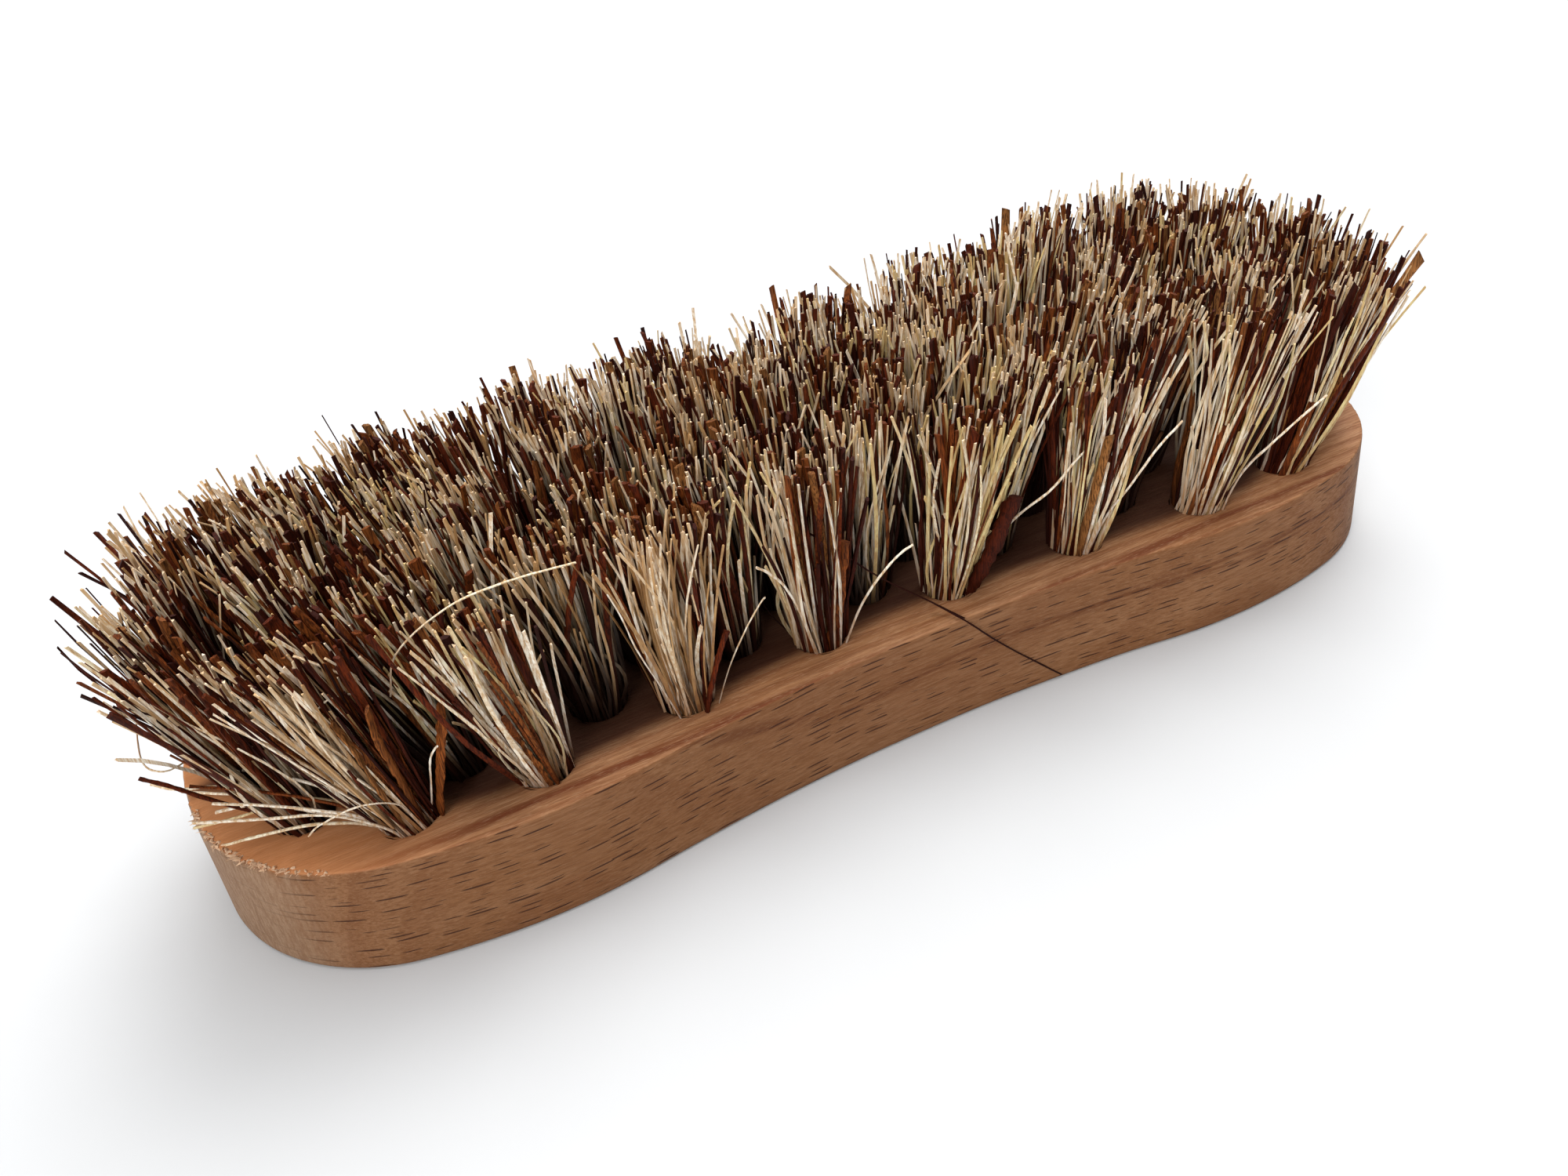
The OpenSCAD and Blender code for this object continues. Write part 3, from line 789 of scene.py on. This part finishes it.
# Material number, tint, half width and half thickness, then the places that it passes through:
# first the fibres swept over the left end, then curls and long hairs, then flakes of bark
LOOSE = (
    (0, 0.7, 0.3, 0.24, (-75, -22.6, 14),
     (-78.1, -23.3, 20), (-84.4, -20.1, 22.5), (-90.7, -16.7, 24.5), (-96, -14.4, 24)),
    (0, 0.5, 0.26, 0.2, (-75, -21.5, 14),
     (-79.4, -20.2, 22), (-84.1, -16.4, 24.5), (-91.2, -14.7, 25), (-99.4, -8, 24.5)),
    (0, 0.8, 0.27, 0.2, (-74.5, -23.5, 14),
     (-78.1, -19.8, 21), (-81.4, -17.9, 26), (-86.6, -16.5, 31), (-90.5, -16.2, 34)),
    (0, 0.6, 0.24, 0.2, (-75, -24.5, 14),
     (-76.9, -26.2, 20), (-83.2, -23.7, 24), (-91.2, -20.4, 25), (-98.8, -17.3, 26)),
    (0, 0.8, 0.25, 0.2, (-75.5, -22, 14),
     (-79, -23, 19.6), (-85, -21.4, 21.6), (-91, -19.8, 21.9), (-96.5, -17.8, 21.2)),
    (0, 0.65, 0.24, 0.2, (-74.8, -23.8, 14),
     (-78.5, -24.8, 21.6), (-84, -23.4, 25), (-90, -21.2, 27.4), (-95.5, -19.2, 29)),
    (0, 0.9, 0.22, 0.18, (-75.4, -21.2, 14),
     (-80.4, -19.4, 21), (-86.6, -17, 23.4), (-93.2, -15.8, 23), (-99.2, -13.4, 22.2)),
    (0, 0.72, 0.26, 0.2, (-74.6, -22.6, 14),
     (-78.8, -22, 22), (-84, -19.4, 26.6), (-90.2, -16, 29.4), (-96.6, -13.2, 31)),
    (1, 0.75, 0.36, 0.22, (-75.2, -23, 14),
     (-79.2, -22.8, 21.4), (-85, -21, 25.8), (-91.4, -19, 29), (-97.2, -17.4, 31.4)),
    (0, 0.6, 0.13, 0.11, (-73.5, -24.5, 18),
     (-75, -28.2, 25), (-79.5, -28.8, 27.6), (-84.6, -26.6, 25.4), (-86.4, -23.8, 22.2)),
    (0, 0.4, 0.22, 0.18, (-84.5, -14, 14),
     (-88.6, -13.6, 21), (-94, -11.3, 25), (-99.5, -9.4, 26), (-102.5, -6.2, 26)),
    (1, 0.5, 0.34, 0.2, (-85.5, -14, 14),
     (-90.5, -15.5, 21.5), (-95.5, -15.9, 27), (-99.5, -15.2, 31), (-102.4, -14.2, 33)),
    (0, 0.3, 0.14, 0.12, (-101.5, 1.5, 32),
     (-103, -0.2, 26), (-101.1, -2.8, 25), (-98.2, -1.1, 24), (-95, 2, 24)),
    (0, 0.7, 0.17, 0.14, (-72, -24.2, 16),
     (-70.5, -25.5, 23.4), (-69.6, -26, 28), (-68.4, -26.5, 30), (-67, -27, 30.7)),
    (0, 0.7, 0.15, 0.12, (-80, -21, 30),
     (-80.9, -24, 38.5), (-79.6, -24.2, 40.3), (-77.8, -24, 40.7), (-73.1, -22, 38.5)),
    (0, 0.8, 0.16, 0.13, (-71.5, -24, 38),
     (-69.4, -27, 45.6), (-62.2, -27.6, 49.6), (-54.4, -27, 49.8), (-45.3, -25, 47.8)),
    (0, 0.75, 0.24, 0.2, (11.5, -22, 16),
     (17.9, -25, 28), (25.6, -26, 32.4), (29.1, -27, 36.3), (31.8, -27, 37.9)),
    (0, 0.65, 0.2, 0.17, (-12.5, -22, 14),
     (-15.5, -24.5, 26), (-18, -26, 33), (-20.5, -27, 37), (-22.4, -27.4, 39)),
    (0, 0.75, 0.2, 0.17, (-9.5, -22, 14),
     (-7, -25, 24), (-4, -26.2, 29), (-0.8, -26.8, 32), (1.6, -27, 33)),
    (0, 0.7, 0.22, 0.18, (32, -24, 14),
     (35, -26.5, 24), (39, -27.5, 29), (43.5, -28, 34), (48, -28, 37)),
    (0, 0.6, 0.2, 0.16, (56, -27, 14),
     (59, -29, 24), (64, -30.5, 29), (69, -31, 32), (73.5, -31, 34)),
    (0, 0.7, 0.13, 0.11, (-35, -24.5, 15),
     (-38, -26, 25), (-40.5, -27, 33), (-42, -28, 40), (-44, -28, 47)),
    (0, 0.5, 0.13, 0.11, (-31, -24.5, 15),
     (-28, -26, 24), (-25, -27, 30), (-22.5, -27, 33), (-21.2, -26, 33)),
    (1, 0.1, 0.14, 0.12, (-16.5, -24, 43),
     (-8.6, -23, 34.2), (-2, -22.8, 26.6), (5, -24.6, 20.4), (8.3, -28.7, 18.3)),
    (1, 0.1, 0.14, 0.12, (5, -24.6, 20.4),
     (8.6, -28.9, 17.6), (13, -28.9, 12.6), (17.6, -29, 7.8), (25, -29.3, 0.6)),
    (1, 0.05, 0.3, 0.2, (84, 20, 30),
     (83.5, 22, 40), (83, 23.5, 46), (82.6, 24.2, 49.6), (82.2, 24.6, 51.6)),
    (1, 0.4, 1.2, 0.9, (12.3, -20.8, 14),
     (13.4, -23.6, 20), (15, -25.7, 25.4), (16.7, -27, 31), (18.4, -28, 35.2)),
    (1, 0.9, 1.3, 0.3, (-56.3, -25.6, 14),
     (-57, -27.4, 20), (-58.3, -28.2, 25.1), (-59.7, -28.8, 29.5), (-61, -29.2, 32.4)),
    (1, 0.97, 1.0, 0.3, (-74.5, -24, 14),
     (-75.2, -25.8, 20.6), (-76.7, -27.2, 28.4), (-77.8, -28.2, 35.5), (-79.2, -28.8, 40.9)),
    (1, 0.9, 0.8, 0.3, (-72.6, -24, 14),
     (-73.1, -25.8, 21.5), (-74, -27.2, 29), (-74.8, -28.2, 35.9), (-74.8, -28.8, 40.6)),
    (1, 0.85, 0.8, 0.3, (-71, -23, 14),
     (-70.2, -24.7, 19.4), (-68.8, -26.2, 26.3), (-67.3, -27.2, 32.7), (-66.3, -27.8, 37.1)),
    (1, 0.8, 0.9, 0.35, (-10.8, -21.8, 14),
     (-10.5, -23.6, 21.6), (-10, -25.4, 27.9), (-9.6, -26.6, 33.7), (-9.2, -27.2, 37.8)),
    (1, 0.6, 0.5, 0.35, (-33, -25, 14),
     (-31.6, -26.2, 21), (-30.4, -26.8, 25), (-29.2, -27.2, 28.5), (-28, -27.4, 31)),
    (1, 0.75, 0.7, 0.3, (53, -25, 14),
     (53.5, -26.8, 20.2), (54, -28.2, 27.7), (54.5, -28.9, 32), (54.9, -29.2, 35)),
    (1, 0.45, 0.9, 0.4, (80.5, -17.2, 14),
     (82.3, -18, 21.4), (90.2, -19, 31.5), (95, -19.6, 36), (101, -20, 41)),
)
LOOSE_POINTS, LOOSE_SIDES = 26, 7


def smooth_line(places):
    """A line through the places: a cubic between each two, with slopes from both neighbours."""
    knots = np.array(places, float)
    slope = np.gradient(knots, axis=0)
    at = np.linspace(0, len(knots) - 1, LOOSE_POINTS)
    low = np.minimum(at.astype(int), len(knots) - 2)
    t = (at - low)[:, None]
    near, far = knots[low], knots[low + 1]
    return (
        near * (1 + 2 * t) * (1 - t) ** 2
        + slope[low] * t * (1 - t) ** 2
        + far * t * t * (3 - 2 * t)
        + slope[low + 1] * t * t * (t - 1)
    )


rng = np.random.default_rng(77)
kinds = []
for slot, tint, width, thick, *places in LOOSE:
    path = smooth_line(places)[None]
    # Flakes of bark have rougher edges than single fibres
    uneven = 1 + (0.10 if width > 0.6 else 0.04) * rng.normal(0, 1, (1, LOOSE_POINTS))
    kinds.append((slot, path, width * uneven, thick * uneven, LOOSE_SIDES, np.array([tint])))
fibre_object("loose_fibres", rng, kinds)


# Torn grain
# The saw left the wood ragged where the arris turns round the front left corner. These are the
# splinters of beech that stand up and out from it, paler than the face.

SPLINTERS = 190
SPLINTER_SIDES = 4


def splinters():
    """Thin tapering slivers from places near the arris, which go out, up and along by chance."""
    rng = np.random.default_rng(31)
    corner = np.flatnonzero((outline[:, 0] < -86) & (outline[:, 1] < -4))
    at = rng.choice(corner, SPLINTERS)
    out = outward(outline)[at]
    along = np.stack([-out[:, 1], out[:, 0]], 1)
    crest = np.exp(-(((outline[at, 0] + 95) / 7) ** 2))
    foot = np.empty((SPLINTERS, 3))
    foot[:, :2] = outline[at] - rng.uniform(0.2, 1.0, (SPLINTERS, 1)) * out
    foot[:, 2] = BLOCK_T - rng.uniform(0.05, 0.5, SPLINTERS)
    reach = rng.uniform(0.4, 1.0, (SPLINTERS, 1)) * (0.5 + 0.9 * crest[:, None])
    step = np.empty((SPLINTERS, 3))
    outwards = out * rng.uniform(0.2, 1, (SPLINTERS, 1))
    step[:, :2] = reach * (outwards + along * rng.normal(0, 0.5, (SPLINTERS, 1)))
    step[:, 2] = reach[:, 0] * rng.uniform(0.1, 0.6, SPLINTERS)
    share = np.linspace(0, 1, 3)[:, None]
    path = foot[:, None] + share * step[:, None]
    path[..., 2] -= 0.25 * share[:, 0] ** 2 * reach
    width = rng.uniform(0.12, 0.28, (SPLINTERS, 1)) * np.array([1, 0.75, 0.15])
    quads, caps = tube_faces(SPLINTERS, 3, SPLINTER_SIDES, 0)
    corners = tubes(path, width, width * 0.5, SPLINTER_SIDES, rng)
    mesh = bpy.data.meshes.new("torn_grain")
    mesh.from_pydata((corners * MM).tolist(), [], quads + caps)
    return mesh


def torn_beech():
    """Freshly torn beech: paler and pinker than the sanded face, and matt, with small spots."""
    material, tree = new_material("torn_beech")
    place = add(tree, "TexCoord").outputs["Object"]
    spots = add(tree, "TexNoise", {"Vector": place, "Scale": 900, "Detail": 2})
    tone = add(tree, "Mix", (spots, linear("#b98a66"), linear("#e8c8a6")), data_type="RGBA")
    surface = add(tree, "BsdfPrincipled", {"Base Color": tone, "Roughness": 0.8})
    add(tree, "OutputMaterial", {"Surface": surface})
    return material


torn = bpy.data.objects.new("torn_grain", splinters())
bpy.context.scene.collection.objects.link(torn)
torn.data.materials.append(torn_beech())
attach(torn, "root")
